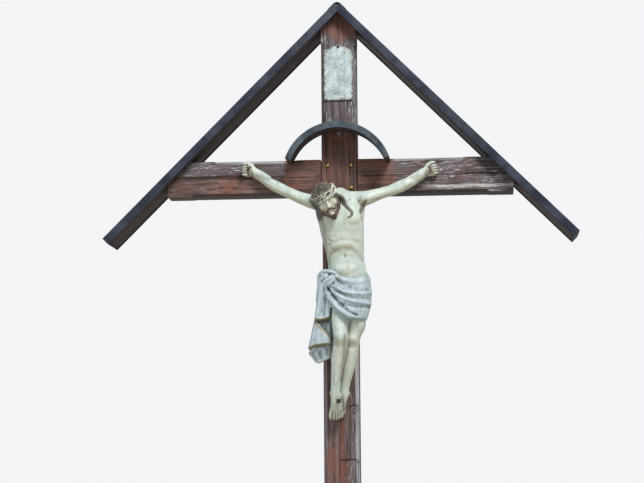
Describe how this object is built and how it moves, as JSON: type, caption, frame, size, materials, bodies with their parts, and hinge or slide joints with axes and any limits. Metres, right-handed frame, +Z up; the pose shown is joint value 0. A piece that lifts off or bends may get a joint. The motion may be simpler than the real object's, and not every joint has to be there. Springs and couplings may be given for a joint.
{
  "type": "roofed wooden wayside crucifix",
  "caption": "Wayside shrine: a timber post and crossbeam under a sheet-metal gable roof, with a hood over a carved and painted crucified figure.",
  "frame": {"origin": "middle of the post's flat foot, at ground level", "axes": "+Z up the post, -Y out of the front where the figure hangs, +X to the viewer's right"},
  "size_m": [2.153, 0.41, 3.8473],
  "materials": {
    "timber": "red-brown stained timber, weathered grey",
    "roof_timber": "dark brown boards",
    "roof_metal": "dark slate blue sheet metal with lichen",
    "plate_paint": "flaked white paint on a board",
    "nail_steel": "dull steel",
    "bolt_brass": "tarnished brass",
    "painted_body": "pale cream oil paint on carved wood",
    "painted_hair": "grey-brown paint on carved wood",
    "painted_thorns": "grey-green paint on twisted twigs",
    "painted_cloth": "pale blue-white paint with gold hems on carved wood"
  },
  "bodies": {
    "root": {"post": "timber", "crossbeam": "timber", "roof_board_left": "roof_timber", "roof_board_right": "roof_timber", "hood_arch": "roof_timber", "roof_sheet_left": "roof_metal", "roof_sheet_right": "roof_metal", "ridge_cap": "roof_metal", "hood_sheet": "roof_metal", "name_plate": "plate_paint", "plate_nail": "nail_steel", "hand_nail_right": "nail_steel", "hand_nail_left": "nail_steel", "foot_nail": "nail_steel", "nut_upper_left": "nail_steel", "nut_upper_right": "nail_steel", "nut_lower_left": "nail_steel", "nut_lower_right": "nail_steel", "wire_tie_upper": "nail_steel", "wire_tie_lower": "nail_steel", "bolt_upper_left": "bolt_brass", "bolt_upper_right": "bolt_brass", "bolt_lower_left": "bolt_brass", "bolt_lower_right": "bolt_brass", "torso": "painted_body", "right_arm": "painted_body", "left_arm": "painted_body", "right_leg": "painted_body", "left_leg": "painted_body", "head": "painted_body", "hair": "painted_hair", "beard": "painted_hair", "crown_of_thorns": "painted_thorns", "loincloth": "painted_cloth", "cloth_tail": "painted_cloth"}
  },
  "joints": []
}
